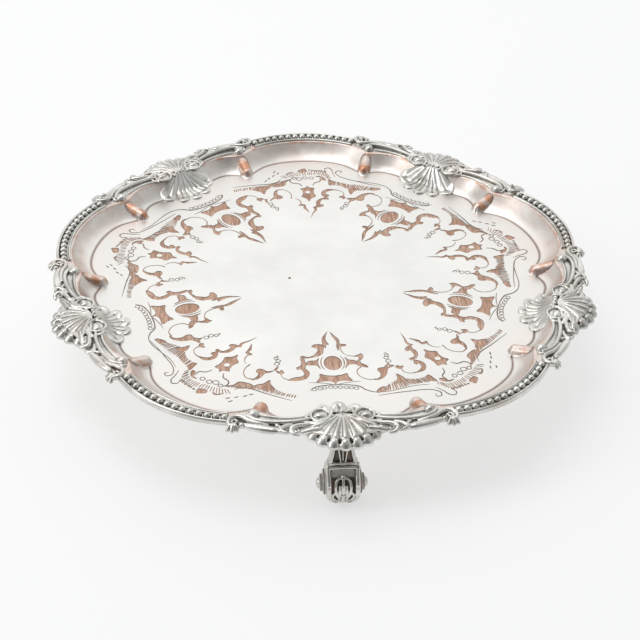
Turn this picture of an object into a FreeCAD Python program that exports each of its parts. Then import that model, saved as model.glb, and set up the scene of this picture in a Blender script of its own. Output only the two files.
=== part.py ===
import FreeCAD, Part
import math
import os

# Footed silver salver: a raised five-lobed tray of plated copper sheet, with cast and stamped mounts
# soldered round its rim (beaded strips, scrolls, shells) and three scroll feet under it.
# Millimetres. +Z is up, the ground is z = 0, and the tray's own axis is the Z axis.
# The front shell and the front foot lie towards -Y. Angles run anticlockwise from that shell.

Vec = FreeCAD.Vector

# ---- driving dimensions ----
SECTORS = 5                 # lobes of the tray: one shell and one beaded section in each
SECTOR_DEG = 360.0 / SECTORS
WELL_Z = 38.0               # top of the flat well above the ground
CAVETTO_H = 8.0             # the rim stands this far above the well
RIM_Z = WELL_Z + CAVETTO_H
SHEET = 1.2                 # thickness of the plated sheet
CAVETTO_POWER = 1.5         # how hollow the cavetto is: 1 would be a straight slope

# outlines as (degrees from the nearest shell, radius); each half sector mirrors into the whole ring
FLOOR_EDGE = [(0, 121.0), (4, 121.2), (8, 123.6), (12, 125.5), (15, 124.4), (17, 122.2), (19, 120.8),
              (21, 122.2), (23, 125.2), (26, 128.6), (30, 130.6), (36, 131.4)]
RIM_INNER = [(0, 129.4), (4, 130.0), (8, 132.6), (12, 134.2), (15, 133.8), (17, 132.8), (19, 132.6),
             (21, 134.8), (23, 137.4), (26, 139.6), (30, 141.2), (36, 142.2)]
RIM_OUTER = [(0, 148.4), (4, 147.6), (8, 145.2), (12, 143.8), (15, 143.2), (17, 142.8), (19, 142.6),
             (21, 143.2), (23, 144.6), (26, 146.4), (30, 148.1), (36, 149.4)]

RIB_DEG = 18.9              # the folded ribs stand this far each side of a shell
RIB_R = 3.3                 # radius of a rib's rounded back
RIB_NOSE = 121.9            # centre of the rib's rounded nose on the well
RIB_TOP = 137.5             # where the rib ends under its boss

BEAD_ARC_C = 78.8           # a beaded section is an arc about a point this far from the axis
BEAD_ARC_R = 68.0           # radius of the row of beads
BEAD_COUNT = 15
BEAD_PITCH = 4.4
BEAD_R = 1.9
STRIP_HALF_DEG = 27.6       # half the beaded section's own arc

FOOT_R = 141.0              # the foot's roll, from the tray's axis
FOOT_ROLL_R = 10.0
FOOT_ROLL_Z = 9.7           # a little under the radius, so the roll has a small worn flat
FOOT_W = 17.0               # width of the strap over the roll
FOOT_DEG = [0.0, 120.0, 240.0]


def polar(radius, deg, z=0.0):
    a = math.radians(deg - 90.0)
    return Vec(radius * math.cos(a), radius * math.sin(a), z)


def turned(shape, deg):
    copy = shape.copy()
    copy.rotate(Vec(0, 0, 0), Vec(0, 0, 1), deg)
    return copy


def mirrored(shape):
    return shape.mirror(Vec(0, 0, 0), Vec(1, 0, 0))


def fuse_all(shapes):
    # one after another: fusing them all in one go leaves faults where many curved pieces cross
    whole = shapes[0]
    for shape in shapes[1:]:
        whole = whole.fuse(shape)
    return whole.removeSplitter()


def biggest(shape):
    return sorted(shape.Solids, key=lambda s: s.Volume)[-1]


def ball(centre, radius):
    return Part.makeSphere(radius, centre)


def cone_between(a, b, ra, rb):
    axis = b.sub(a)
    if abs(ra - rb) < 1e-6:
        return Part.makeCylinder(ra, axis.Length, a, axis)
    return Part.makeCone(ra, rb, axis.Length, a, axis)


# ---- tray ----

def ring_table(half):
    # the whole ring of (angle, radius) from one half sector
    full = []
    for k in range(SECTORS):
        base = k * SECTOR_DEG
        full += [(base + deg, r) for deg, r in half]
        full += [(base + SECTOR_DEG - deg, r) for deg, r in reversed(half[1:-1])]
    return full


def between(inner, outer, share, extra=0.0):
    return [(a[0], a[1] + share * (b[1] - a[1]) + extra) for a, b in zip(inner, outer)]


def ring_wire(half, z):
    full = ring_table(half)
    points = [polar(r, deg, z) for deg, r in full]
    steps = [math.radians(deg) for deg, r in full] + [2.0 * math.pi]
    curve = Part.BSplineCurve()
    curve.interpolate(Points=points, PeriodicFlag=True, Parameters=steps)
    return Part.Wire([curve.toShape()])


def prism(half, z0, z1):
    return Part.Face(ring_wire(half, z0)).extrude(Vec(0, 0, z1 - z0))


def dish(grow, drop, top):
    # the space inside the tray's curved wall; grown and dropped it is the wall's outside
    wires = [ring_wire(between(FLOOR_EDGE, RIM_INNER, 0.0, grow), WELL_Z - drop)]
    for share in (0.35, 0.7, 1.0):
        z = WELL_Z + CAVETTO_H * share ** CAVETTO_POWER
        z = z - drop if share < 1.0 else top
        wires.append(ring_wire(between(FLOOR_EDGE, RIM_INNER, share, grow), z))
    return Part.makeLoft(wires, True, True)


def rib(deg):
    nose = polar(RIB_NOSE, deg, WELL_Z)
    top = polar(RIB_TOP, deg, RIM_Z + 0.5 - RIB_R)
    return cone_between(nose, top, RIB_R, RIB_R).fuse(ball(nose, RIB_R))


def tray_body():
    hollow = dish(0.0, 0.0, RIM_Z)
    outside = dish(1.0, SHEET, RIM_Z)
    flange = prism(RIM_OUTER, RIM_Z - SHEET, RIM_Z)
    envelope = outside.fuse(flange)
    degs = [k * SECTOR_DEG + side * RIB_DEG for k in range(SECTORS) for side in (-1, 1)]
    ribs = Part.makeCompound([rib(deg) for deg in degs]).common(envelope)
    shell = envelope.cut(hollow)
    return biggest(shell.fuse(ribs)), hollow


# ---- mounts on the rim ----

def bead_strip():
    # a channel section turned about the arc's own centre, with a row of round beads in it
    r = BEAD_ARC_R
    z = RIM_Z
    low = z - 1.8
    edges = [Part.LineSegment(Vec(r - 4.0, 0, low), Vec(r - 4.0, 0, z + 0.8)).toShape(),
             Part.Arc(Vec(r - 4.0, 0, z + 0.8), Vec(r - 3.2, 0, z + 1.5), Vec(r - 2.4, 0, z + 0.6)).toShape(),
             Part.LineSegment(Vec(r - 2.4, 0, z + 0.6), Vec(r + 2.3, 0, z + 0.6)).toShape(),
             Part.Arc(Vec(r + 2.3, 0, z + 0.6), Vec(r + 3.1, 0, z + 1.6), Vec(r + 3.9, 0, z + 0.4)).toShape(),
             Part.LineSegment(Vec(r + 3.9, 0, z + 0.4), Vec(r + 4.1, 0, low)).toShape(),
             Part.LineSegment(Vec(r + 4.1, 0, low), Vec(r - 4.0, 0, low)).toShape()]
    face = Part.Face(Part.Wire(edges))
    face.rotate(Vec(0, 0, 0), Vec(0, 0, 1), -90.0 - STRIP_HALF_DEG)
    strip = face.revolve(Vec(0, 0, 0), Vec(0, 0, 1), 2.0 * STRIP_HALF_DEG)
    step = math.degrees(BEAD_PITCH / BEAD_ARC_R)
    beads = []
    for i in range(BEAD_COUNT):
        deg = (i - (BEAD_COUNT - 1) / 2.0) * step
        beads.append(ball(polar(r, deg, z + 0.6), BEAD_R))
    solid = fuse_all([strip] + beads)
    solid.translate(Vec(0, -BEAD_ARC_C, 0))
    return solid


def reed(start, middle, end, radius):
    # a round bar along an arc through three points, with a fatter ball at each end
    arc = Part.Arc(start, middle, end).toShape()
    first, last = arc.ParameterRange
    disc = Part.Face(Part.Wire([Part.makeCircle(radius, start, arc.tangentAt(first))]))
    bar = disc.revolve(arc.Curve.Center, arc.Curve.Axis, math.degrees(last - first))
    return [bar, ball(start, 1.25 * radius), ball(end, 1.25 * radius)]


def volute(centre, radius, tube, eye):
    ring = Part.makeTorus(radius, tube, centre, Vec(0, 0, 1))
    floor = Part.makeCylinder(radius, tube, centre.sub(Vec(0, 0, tube)))
    return [ring, floor, ball(centre, eye)]


def scroll_mount():
    # the scroll on the +X side of the front shell: a base band, reeds along it, and a curl at each end
    z = RIM_Z
    rim_line = [(15.5, -130.0), (22.0, -131.6), (30.0, -131.2), (37.0, -129.8), (42.0, -127.6),
                (47.0, -128.2), (51.0, -130.2), (55.0, -132.5), (54.5, -137.2), (50.0, -137.6),
                (43.0, -139.6), (34.0, -141.2), (28.0, -143.4), (22.0, -143.0), (14.0, -139.0)]
    corners = [Vec(x, y, z - 1.6) for x, y in rim_line]
    curve = Part.BSplineCurve()
    curve.interpolate(Points=corners, PeriodicFlag=True)
    base = Part.Face(Part.Wire([curve.toShape()])).extrude(Vec(0, 0, 2.2))
    pieces = [base]
    pieces += reed(Vec(45.2, -131.4, z + 1.2), Vec(33.0, -136.6, z + 1.2), Vec(18.0, -135.4, z + 1.2), 1.2)
    pieces += reed(Vec(50.0, -132.4, z + 0.9), Vec(39.6, -138.3, z + 0.9), Vec(27.0, -139.2, z + 0.9), 1.1)
    pieces += reed(Vec(49.6, -136.6, z - 0.2), Vec(40.0, -139.9, z - 0.2), Vec(30.0, -141.6, z - 0.2), 1.2)
    pieces += volute(Vec(53.3, -134.0, z + 1.2), 3.0, 1.3, 1.5)
    pieces += volute(Vec(26.0, -141.4, z + 0.6), 2.4, 1.1, 1.2)
    pieces += [ball(Vec(54.6, -137.4, z + 0.6), 2.0), ball(polar(136.6, RIB_DEG, z + 1.0), 3.3)]
    return fuse_all(pieces)


def ray(root, deg, length, tip_r, z_root, z_tip):
    # one flute of a fan: it widens from the root to a rounded tip
    a = math.radians(deg)
    run = length - tip_r
    tip = Vec(root[0] + run * math.sin(a), root[1] - run * math.cos(a), z_tip)
    start = Vec(root[0], root[1], z_root)
    return [cone_between(start, tip, 1.0, 0.94 * tip_r), ball(tip, tip_r)]


def shell_mount():
    # the front shell: a big fan hanging over the edge, a small one down the cavetto, a heart between
    z = RIM_Z
    pieces = [Part.makeCylinder(9.0, 1.6, Vec(0, -136.0, z - 0.4))]
    for deg, length, tip_r in ((0, 21.1, 3.0), (17, 20.8, 3.0), (34, 20.6, 2.9), (52, 20.2, 2.7), (72, 20.0, 2.5)):
        for side in ((-1, 1) if deg else (1,)):
            pieces += ray((0, -131.5), side * deg, length, tip_r, z + 1.6, z - 0.8)
    for deg, length, tip_r in ((180, 18.8, 2.4), (157, 17.4, 2.3), (136, 15.2, 2.2), (114, 13.4, 2.1)):
        for side in ((-1, 1) if deg < 180 else (1,)):
            drop = WELL_Z + 1.0 + 2.6 * abs(180 - deg) / 66.0
            pieces += ray((0, -131.0), side * deg, length, tip_r, z + 1.2, drop)
    for side in (-1, 1):
        pieces += volute(Vec(side * 12.0, -134.0, z + 1.5), 3.6, 1.2, 1.6)
    for i in range(5):
        pieces.append(ball(Vec((i - 2) * 2.6, -131.6 - 0.3 * abs(i - 2), z + 1.4), 1.4))
    return fuse_all(pieces)


# ---- feet ----

def foot():
    # the front foot: a neck, a collar, and a rolled scroll with a stepped boss on each side
    z = FOOT_ROLL_Z
    r = FOOT_R
    side_dir = Vec(1, 0, 0)
    core = Part.makeCylinder(FOOT_ROLL_R - 1.4, FOOT_W - 1.0, Vec(-(FOOT_W - 1.0) / 2, -r, z), side_dir)
    pieces = [core]
    for x in (-FOOT_W / 2, FOOT_W / 2 - 2.2):
        pieces.append(Part.makeCylinder(FOOT_ROLL_R, 2.2, Vec(x, -r, z), side_dir))
    for side in (-1, 1):
        out = Vec(side, 0, 0)
        pieces.append(Part.makeCone(7.2, 4.6, 2.2, Vec(side * FOOT_W / 2, -r, z), out))
        pieces.append(Part.makeCone(3.6, 2.2, 1.6, Vec(side * (FOOT_W / 2 + 2.2), -r, z), out))
        pieces.append(ball(Vec(side * (FOOT_W / 2 + 3.4), -r, z), 1.7))
    tongue = Part.makeCylinder(FOOT_ROLL_R - 0.4, 4.4, Vec(-2.2, -r, z), side_dir)
    keep = Part.makeBox(5.0, 12.0, 11.5, Vec(-2.5, -r - 12.0, 0.0))
    pieces.append(tongue.common(keep))
    pieces.append(Part.makeBox(16.6, 4.0, 2.0, Vec(-8.3, -r - 4.6, z + 9.0)))
    pieces.append(Part.makeBox(FOOT_W - 2.0, 4.6, 2.0, Vec(1.0 - FOOT_W / 2, -r - 2.3, 0.0)))
    sections = []
    for w, d, y, h in ((15.6, 11.0, -141.0, 15.0), (15.6, 8.0, -141.2, 20.5), (12.4, 6.4, -139.6, 27.0),
                       (10.4, 6.0, -137.6, 34.0), (10.0, 7.0, -135.4, 40.0), (11.0, 9.0, -134.4, 46.0)):
        sections.append(Part.makePolygon([Vec(-w / 2, y - d / 2, h), Vec(w / 2, y - d / 2, h),
                                          Vec(w / 2, y + d / 2, h), Vec(-w / 2, y + d / 2, h),
                                          Vec(-w / 2, y - d / 2, h)]))
    pieces.append(Part.makeLoft(sections, True, False))
    solid = fuse_all(pieces)
    below = Part.makeBox(60, 60, 20, Vec(-30, -r - 30, -20))
    return solid.cut(below)


def main():
    os.makedirs("parts", exist_ok=True)
    tray, hollow = tray_body()
    under = prism(RIM_OUTER, 0.0, RIM_Z).cut(hollow)
    shell = biggest(shell_mount().cut(under))
    scroll = biggest(biggest(scroll_mount().cut(under)).cut(shell))
    strip = bead_strip().cut(under)
    strip = turned(strip, SECTOR_DEG / 2)
    strip = strip.cut(scroll)
    strip = strip.cut(turned(mirrored(scroll), SECTOR_DEG))
    strip = biggest(strip)
    parts = {"tray_body": tray}
    for k in range(SECTORS):
        n = k + 1
        parts["shell_mount_%d" % n] = turned(shell, k * SECTOR_DEG)
        parts["scroll_right_%d" % n] = turned(scroll, k * SECTOR_DEG)
        parts["scroll_left_%d" % n] = turned(mirrored(scroll), k * SECTOR_DEG)
        parts["bead_strip_%d" % n] = turned(strip, k * SECTOR_DEG)
    one_foot = foot()
    solid_tray = prism(RIM_OUTER, RIM_Z - SHEET, RIM_Z + 20.0).fuse(dish(1.0, SHEET, RIM_Z))
    for i, deg in enumerate(FOOT_DEG):
        parts["foot_%d" % (i + 1)] = biggest(turned(one_foot, deg).cut(solid_tray))
    for name, shape in parts.items():
        print(name, shape.ShapeType, shape.isValid(), round(shape.Volume, 1), shape.BoundBox)
        shape.exportStep("parts/%s.step" % name)


main()
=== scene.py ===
"""The looks of a footed silver salver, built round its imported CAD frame.

The tray is plated copper sheet: a flat engraved well, a hollow cavetto broken by folded ribs, and a
lobed rim. Beaded strips, scrolls and shells are mounted on the rim, and three scroll feet stand under it.
Shapes are worked out in millimetres in the frame's own axes and handed to Blender in metres.
Angles run anticlockwise from the front shell, which lies towards -Y.
"""
import math
import random
import bpy
import numpy as np
from mathutils import Matrix, Vector
from mathutils.geometry import delaunay_2d_cdt


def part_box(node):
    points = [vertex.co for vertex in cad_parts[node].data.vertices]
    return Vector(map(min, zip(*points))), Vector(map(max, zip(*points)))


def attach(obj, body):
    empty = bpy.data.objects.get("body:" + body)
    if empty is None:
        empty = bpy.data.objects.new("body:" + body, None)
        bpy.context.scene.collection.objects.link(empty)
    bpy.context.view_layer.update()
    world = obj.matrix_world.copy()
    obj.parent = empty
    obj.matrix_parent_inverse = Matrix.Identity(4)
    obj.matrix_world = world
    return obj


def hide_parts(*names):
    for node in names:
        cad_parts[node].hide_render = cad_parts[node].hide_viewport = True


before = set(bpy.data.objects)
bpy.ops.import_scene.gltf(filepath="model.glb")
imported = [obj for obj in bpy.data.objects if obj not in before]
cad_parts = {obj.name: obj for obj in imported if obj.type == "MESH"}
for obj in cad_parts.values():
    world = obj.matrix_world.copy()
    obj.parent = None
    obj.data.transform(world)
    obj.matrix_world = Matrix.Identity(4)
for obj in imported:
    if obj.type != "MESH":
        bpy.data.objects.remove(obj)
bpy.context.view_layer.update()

MM = 0.001                   # metres in a millimetre

# ---- driving dimensions, in millimetres and degrees ----
SECTORS = 5
SECTOR_DEG = 360.0 / SECTORS
RIM_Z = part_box("tray_body")[1].z / MM
CAVETTO_H = 8.0              # how far the well lies under the rim
CAVETTO_POWER = 1.5          # how the hollow side steepens: 1 would be a plain cone
WELL_Z = RIM_Z - CAVETTO_H
SHEET = 1.2                  # thickness of the sheet

# outlines as (degrees from the nearest shell, radius) over half a sector
FLOOR_EDGE = [(0, 121.0), (4, 121.2), (8, 123.6), (12, 125.5), (15, 124.4), (17, 122.2), (19, 120.8),
              (21, 122.2), (23, 125.2), (26, 128.6), (30, 130.6), (36, 131.4)]
RIM_INNER = [(0, 129.4), (4, 130.0), (8, 132.6), (12, 134.2), (15, 133.8), (17, 132.8), (19, 132.6),
             (21, 134.8), (23, 137.4), (26, 139.6), (30, 141.2), (36, 142.2)]
RIM_OUTER = [(0, 147.0), (4, 146.0), (8, 143.6), (12, 142.2), (15, 141.6), (17, 141.2), (19, 141.0),
             (21, 141.8), (23, 143.4), (26, 145.6), (30, 147.8), (36, 149.2)]

RIB_DEG = 18.9               # from a shell to the rib on each side of it
RIB_R = 3.7                  # roundness of the rib's back
RIB_NOSE = 121.9             # how far out the rib starts and ends
RIB_TOP = 137.5
NO_RIB = -99.0               # the rib's height where there is none
GROOVE_DEPTH = 0.3           # the line pressed along the floor's edge
CUT_DEPTH = 0.2              # how deep the engraving is cut
OUTLINE_WIDTH = 0.33         # the fine line round each copper patch

BEAD_ARC_C = 78.8            # how far out the centre of a beaded strip's own arc lies
BEAD_ARC_R = 68.0            # radius of that arc
BEAD_COUNT = 15
BEAD_PITCH = 4.4
BEAD_R = 1.9
STRIP_HALF_DEG = 27.4        # half the angle a strip spans about its own centre

# each shell's engraving was laid out one by one: how far out it sits, and how far its radius is drawn in
FIELD_LAYOUT = [(0.0, 0.88), (0.3, 1.0), (0.2, 1.0), (1.7, 1.0), (0.0, 0.98)]
FIELD_MIDDLE = -70.0         # the place on a shell's axis that stays put when its engraving is drawn in
HAND_SLIP = 0.22             # the most that one cut strays from the design
SEED = 11

FOOT_R = 140.2               # how far out the middle of the foot's roll lies
FOOT_ROLL_R = 10.7
FOOT_ROLL_Z = 10.4           # height of its axis
FOOT_W = 17.0                # its width between the bosses
ROLL_SINK = 1.7              # how far the roll's field lies under its rims
BOSS_OUT = 4.6               # how far the boss stands out at each side of the roll
FOOT_DEG = [0.0, 120.0, 240.0]
# the neck's sections as (width, place along Y, height, depth)
NECK = ((14.6, -140.6, 19.0, 8.0), (14.4, -140.2, 23.4, 6.4), (12.4, -139.4, 28.0, 5.6),
        (10.2, -137.8, 34.0, 5.2), (8.8, -135.8, 40.0, 6.4), (9.2, -134.6, 47.0, 8.6))

# angles of the valleys between flutes, from each fan's middle
OUTER_VALLEYS = [9.0, 26.0, 44.0, 61.0, 76.0]
INNER_VALLEYS = [14.0, 42.0, 76.0]

VOXEL = 0.26                 # cast pieces are fused into one skin at this fineness
NARROW, WIDE = 6, 40         # rounds of averaging that find narrow and wide hollows
NARROW_DEEP, WIDE_DEEP = 0.13, 0.6   # how deep each kind is where it is wholly dark


# ---- plane geometry ----

def polar(radius, deg):
    a = math.radians(deg - 90.0)
    return np.array([radius * math.cos(a), radius * math.sin(a)])


def turn(points, deg):
    a = math.radians(deg)
    spin = np.array([[math.cos(a), math.sin(a)], [-math.sin(a), math.cos(a)]])
    return np.asarray(points, float) @ spin


def outline(half):
    """A smooth closed outline through half a sector's table and its mirror: returns radius(degrees)."""
    deg = np.array([d for d, _ in half] + [SECTOR_DEG - d for d, _ in half[-2:0:-1]], float)
    rad = np.array([r for _, r in half] + [r for _, r in half[-2:0:-1]], float)
    n = len(deg)
    gap = np.diff(np.append(deg, SECTOR_DEG))
    rise = np.diff(np.append(rad, rad[0])) / gap
    rows = np.zeros((n, n))
    for i in range(n):
        rows[i, i - 1] += gap[i - 1]
        rows[i, i] += 2 * (gap[i - 1] + gap[i])
        rows[i, (i + 1) % n] += gap[i]
    bend = np.linalg.solve(rows, 6 * (rise - np.roll(rise, 1)))

    def radius(angles):
        a = np.mod(angles, SECTOR_DEG)
        i = np.clip(np.searchsorted(deg, a, side="right") - 1, 0, n - 1)
        j = (i + 1) % n
        h = gap[i]
        t = a - deg[i]
        slope = rise[i] - h * (2 * bend[i] + bend[j]) / 6
        return rad[i] + slope * t + bend[i] * t ** 2 / 2 + (bend[j] - bend[i]) * t ** 3 / (6 * h)
    return radius


floor_edge, rim_inner, rim_outer = outline(FLOOR_EDGE), outline(RIM_INNER), outline(RIM_OUTER)


def sheet_top(x, y, deg=0.0):
    """Height of the tray's top without its ribs; the points may have been turned back by an angle."""
    radius = np.hypot(x, y)
    angle = np.degrees(np.arctan2(x, -y)) + deg
    share = np.clip((radius - floor_edge(angle)) / (rim_inner(angle) - floor_edge(angle)), 0, 1)
    return WELL_Z + CAVETTO_H * share ** CAVETTO_POWER


def on_side(side, points):
    """Points given for the right, or their mirror image for the left."""
    return [(side * p[0], *p[1:]) for p in points]


def smooth_path(points, closed=False, steps=5):
    """A rounded path through the points, in two or three dimensions."""
    p = np.asarray(points, float)
    if closed:
        p = np.vstack([p[-1], p, p[0], p[1]])
    else:
        p = np.vstack([2 * p[0] - p[1], p, 2 * p[-1] - p[-2]])
    out = []
    for a, b, c, d in zip(p[:-3], p[1:-2], p[2:-1], p[3:]):
        ab, bc, cd = (max(np.linalg.norm(v), 1e-6) ** 0.5 for v in (b - a, c - b, d - c))
        m1 = (c - b) + bc * ((b - a) / ab - (c - a) / (ab + bc))
        m2 = (c - b) + bc * ((d - c) / cd - (d - b) / (bc + cd))
        for s in range(steps):
            t = s / steps
            out.append((2 * t ** 3 - 3 * t ** 2 + 1) * b + (t ** 3 - 2 * t ** 2 + t) * m1
                       + (3 * t ** 2 - 2 * t ** 3) * c + (t ** 3 - t ** 2) * m2)
    if not closed:
        out.append(p[-2])
    return np.array(out)


def spread(values, count):
    """The values spread evenly over a number of stations."""
    return np.interp(np.linspace(0, 1, count), np.linspace(0, 1, len(values)), values)


def anticlockwise(loop):
    """The same loop, turned round if it runs clockwise."""
    x, y = loop[:, 0], loop[:, 1]
    area = np.dot(x, np.roll(y, -1)) - np.dot(y, np.roll(x, -1))
    return loop if area > 0 else loop[::-1]


def tangled(loop):
    """Whether any two sides of the loop cross."""
    def side_of(p, q, r):
        return np.sign((q[..., 0] - p[..., 0]) * (r[..., 1] - p[..., 1])
                       - (q[..., 1] - p[..., 1]) * (r[..., 0] - p[..., 0]))
    ahead = np.roll(loop, -1, axis=0)
    a, b, c, d = loop[:, None], ahead[:, None], loop[None], ahead[None]
    split = side_of(a, b, c) * side_of(a, b, d) < 0
    return bool((split & (side_of(c, d, a) * side_of(c, d, b) < 0)).any())


def inset(loop, width):
    """The loop drawn in by the width, without the points that come too near another side."""
    ahead = np.roll(loop, -1, axis=0)
    along = ahead - np.roll(loop, 1, axis=0)
    along /= np.maximum(np.linalg.norm(along, axis=1), 1e-9)[:, None]
    inner = loop + np.column_stack([-along[:, 1], along[:, 0]]) * width
    edge = ahead - loop
    reach = inner[:, None] - loop[None]
    share = np.clip((reach * edge).sum(axis=2) / np.maximum((edge ** 2).sum(axis=1), 1e-12), 0, 1)
    away = np.linalg.norm(reach - share[..., None] * edge, axis=2).min(axis=1)
    return inner[away > 0.9 * width]


def ellipse(cx, cy, rx, ry, count=28):
    a = np.arange(count) * 2 * math.pi / count
    return np.column_stack([cx + rx * np.cos(a), cy + ry * np.sin(a)])


# ---- meshes ----

def add_object(name, data):
    new = bpy.data.objects.new(name, data)
    bpy.context.scene.collection.objects.link(new)
    return new


def ring_quads(rings, columns, downward=False):
    """The quads between neighbouring closed rings of points."""
    quads = []
    for a in range(0, (rings - 1) * columns, columns):
        for j in range(columns):
            k = (j + 1) % columns
            quad = (a + j, a + k, a + columns + k, a + columns + j)
            quads.append((quad[0],) + quad[:0:-1] if downward else quad)
    return quads


def make_mesh(name, verts, faces, smooth=True):
    mesh = bpy.data.meshes.new(name)
    mesh.from_pydata(np.asarray(verts, float).tolist(), [], faces)
    mesh.polygons.foreach_set("use_smooth", [smooth] * len(mesh.polygons))
    mesh.update()
    return mesh


def set_values(mesh, name, values):
    attribute = mesh.attributes.get(name) or mesh.attributes.new(name, "FLOAT", "POINT")
    attribute.data.foreach_set("value", np.asarray(values, np.float32))


def place(name, mesh, materials, node, slot, deg=0.0):
    """A piece made at the front, in millimetres, put at its own place round the tray in metres."""
    own = mesh.copy()
    own.name = name
    own.transform(Matrix.Rotation(math.radians(deg), 4, "Z") @ Matrix.Scale(MM, 4))
    for material in materials:
        own.materials.append(material)
    piece = add_object(name, own)
    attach(piece, "root")
    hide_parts(node)


class Lump:
    """Closed forms that overlap, to be fused into one cast piece."""

    def __init__(self):
        self.verts = []
        self.faces = []

    def add(self, verts, faces):
        base = len(self.verts)
        self.verts += [tuple(v) for v in verts]
        self.faces += [tuple(base + i for i in f) for f in faces]

    def tube(self, path, radii, flat=1.0, steps=5):
        """A bar along a smooth path; radii are spread along it, and flat squashes its height."""
        sides = 14
        line = smooth_path(path, steps=steps)
        size = spread(radii, len(line))
        verts = []
        for i, point in enumerate(line):
            along = line[min(i + 1, len(line) - 1)] - line[max(i - 1, 0)]
            along = along / max(np.linalg.norm(along), 1e-9)
            side = np.cross(along, (0.0, 0.0, 1.0))
            side = side / max(np.linalg.norm(side), 1e-9)
            lift = np.cross(side, along)
            for s in range(sides):
                a = 2 * math.pi * s / sides
                verts.append(point + size[i] * (math.cos(a) * side + flat * math.sin(a) * lift))
        faces = ring_quads(len(line), sides)
        faces.append(tuple(reversed(range(sides))))
        faces.append(tuple(range((len(line) - 1) * sides, len(line) * sides)))
        self.add(verts, faces)
        self.ball(line[0], size[0], flat=flat)
        self.ball(line[-1], size[-1], flat=flat)

    def ball(self, centre, radius, flat=1.0, rings=9, sides=14, stretch=(1, 1)):
        verts = [(centre[0], centre[1], centre[2] - radius * flat)]
        for i in range(1, rings):
            a = math.pi * i / rings
            for s in range(sides):
                b = 2 * math.pi * s / sides
                verts.append((centre[0] + radius * stretch[0] * math.sin(a) * math.cos(b),
                              centre[1] + radius * stretch[1] * math.sin(a) * math.sin(b),
                              centre[2] - radius * flat * math.cos(a)))
        verts.append((centre[0], centre[1], centre[2] + radius * flat))
        faces = []
        top = len(verts) - 1
        for s in range(sides):
            t = (s + 1) % sides
            faces.append((0, 1 + t, 1 + s))
            faces.append((top, top - sides + s, top - sides + t))
            for i in range(rings - 2):
                a = 1 + i * sides
                faces.append((a + s, a + t, a + sides + t, a + sides + s))
        self.add(verts, faces)

    def slab(self, loop, z0, z1):
        """A flat plate over a closed outline."""
        n = len(loop)
        verts = [(x, y, z0) for x, y in loop] + [(x, y, z1) for x, y in loop]
        area = sum(a[0] * b[1] - b[0] * a[1] for a, b in zip(loop, np.roll(loop, -1, axis=0)))
        faces = [tuple(reversed(range(n))), tuple(range(n, 2 * n))]
        faces += [(i, (i + 1) % n, n + (i + 1) % n, n + i) for i in range(n)]
        if area < 0:
            faces = [tuple(reversed(f)) for f in faces]
        self.add(verts, faces)

    def block(self, top, bottom):
        """The solid between two grids of points with the same rows and columns."""
        rows, columns, _ = top.shape
        size = rows * columns
        faces = []
        for i in range(rows - 1):
            for j in range(columns - 1):
                a = i * columns + j
                d = a + columns
                faces += [(a, a + 1, d + 1, d), (size + d, size + d + 1, size + a + 1, size + a)]
        rim = list(range(columns))
        rim += [i * columns + columns - 1 for i in range(1, rows)]
        rim += [(rows - 1) * columns + j for j in range(columns - 2, -1, -1)]
        rim += [i * columns for i in range(rows - 2, 0, -1)]
        faces += [(a, size + a, size + b, b) for a, b in zip(rim, rim[1:] + rim[:1])]
        self.add(np.vstack([top.reshape(-1, 3), bottom.reshape(-1, 3)]), faces)

    def coil(self, centre, radius, tube, turns, start, z, rise, shrink=0.55):
        """A volute: a bar that winds inwards from the start angle; turns below zero wind the other way."""
        count = max(int(abs(turns) * 14), 6)
        path = []
        size = []
        for i in range(count + 1):
            t = i / count
            a = math.radians(start) + 2 * math.pi * turns * t
            r = radius * (1 - (1 - shrink) * t)
            path.append((centre[0] + r * math.cos(a), centre[1] + r * math.sin(a), z + rise * t))
            size.append(tube * (1 - 0.25 * t))
        self.tube(path, size, steps=1)

    def drum(self, y, z, x0, x1, profile, sides=48):
        """A turned form about an axis along X: profile is (share of the way from x0 to x1, radius)."""
        verts = []
        for share, radius in profile:
            x = x0 + share * (x1 - x0)
            for s in range(sides):
                a = 2 * math.pi * s / sides
                verts.append((x, y + radius * math.cos(a), z + radius * math.sin(a)))
        n = len(profile)
        faces = [tuple(range(sides)), tuple(reversed(range((n - 1) * sides, n * sides)))]
        faces += ring_quads(n, sides, downward=True)
        if x1 < x0:
            faces = [tuple(reversed(f)) for f in faces]
        self.add(verts, faces)

    def fused(self, name, voxel=VOXEL):
        """All the forms as one skin, a little smoothed."""
        holder = add_object(name, make_mesh(name, self.verts, self.faces))
        remesh = holder.modifiers.new("fuse", "REMESH")
        remesh.mode = "VOXEL"
        remesh.voxel_size = voxel
        graph = bpy.context.evaluated_depsgraph_get()
        skin = bpy.data.meshes.new_from_object(holder.evaluated_get(graph))
        bpy.data.objects.remove(holder)
        relax(skin)
        skin.polygons.foreach_set("use_smooth", [True] * len(skin.polygons))
        return skin


def mesh_arrays(mesh):
    co = np.zeros(len(mesh.vertices) * 3)
    mesh.vertices.foreach_get("co", co)
    edges = np.zeros(len(mesh.edges) * 2, int)
    mesh.edges.foreach_get("vertices", edges)
    return co.reshape(-1, 3), edges.reshape(-1, 2)


def set_points(mesh, co):
    mesh.vertices.foreach_set("co", co.ravel())
    mesh.update()


def averaged(values, edges):
    """Each vertex's mean over its neighbours."""
    a, b = edges[:, 0], edges[:, 1]
    count = len(values)
    degree = np.bincount(a, minlength=count) + np.bincount(b, minlength=count)
    out = np.empty_like(values)
    for i in range(values.shape[1]):
        total = np.bincount(a, values[b, i], count) + np.bincount(b, values[a, i], count)
        out[:, i] = total / np.maximum(degree, 1)
    return out


def relax(mesh):
    co, edges = mesh_arrays(mesh)
    for _ in range(2):
        co = 0.5 * co + 0.5 * averaged(co, edges)
    set_points(mesh, co)


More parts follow.
